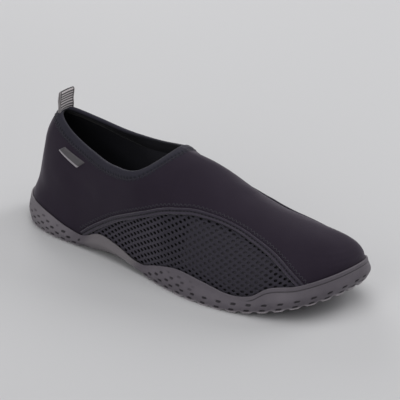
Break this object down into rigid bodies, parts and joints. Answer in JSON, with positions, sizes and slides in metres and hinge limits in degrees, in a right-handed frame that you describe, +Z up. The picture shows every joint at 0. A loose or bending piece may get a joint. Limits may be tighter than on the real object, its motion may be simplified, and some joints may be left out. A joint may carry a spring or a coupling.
{
  "type": "water shoe",
  "caption": "Slip-on water shoe for the right foot: hollow neoprene upper with mesh side panels, bound collar and heel pull loop on a rubber cup sole with lugs.",
  "frame": {"origin": "on the ground under the middle of the rubber sole's plan", "axes": "+X along the shoe to the toe, +Y to the inner side of the foot, +Z up"},
  "size_m": [0.2805, 0.0971, 0.1],
  "materials": {
    "outsole": "matt moulded rubber",
    "upper": "smooth knit-faced neoprene",
    "insole": "cloth-covered foam",
    "mesh": "open knitted mesh",
    "panel_band": "stitched neoprene",
    "collar_binding": "stretch tape",
    "pull_loop": "ribbed webbing",
    "side_label": "plain woven tape"
  },
  "bodies": {
    "root": {"outsole": "outsole", "upper": "upper", "insole": "insole", "mesh_panel_outer": "mesh", "mesh_panel_inner": "mesh", "panel_band_outer": "panel_band", "panel_band_inner": "panel_band", "collar_binding": "collar_binding", "pull_loop": "pull_loop", "side_label": "side_label"}
  },
  "joints": []
}
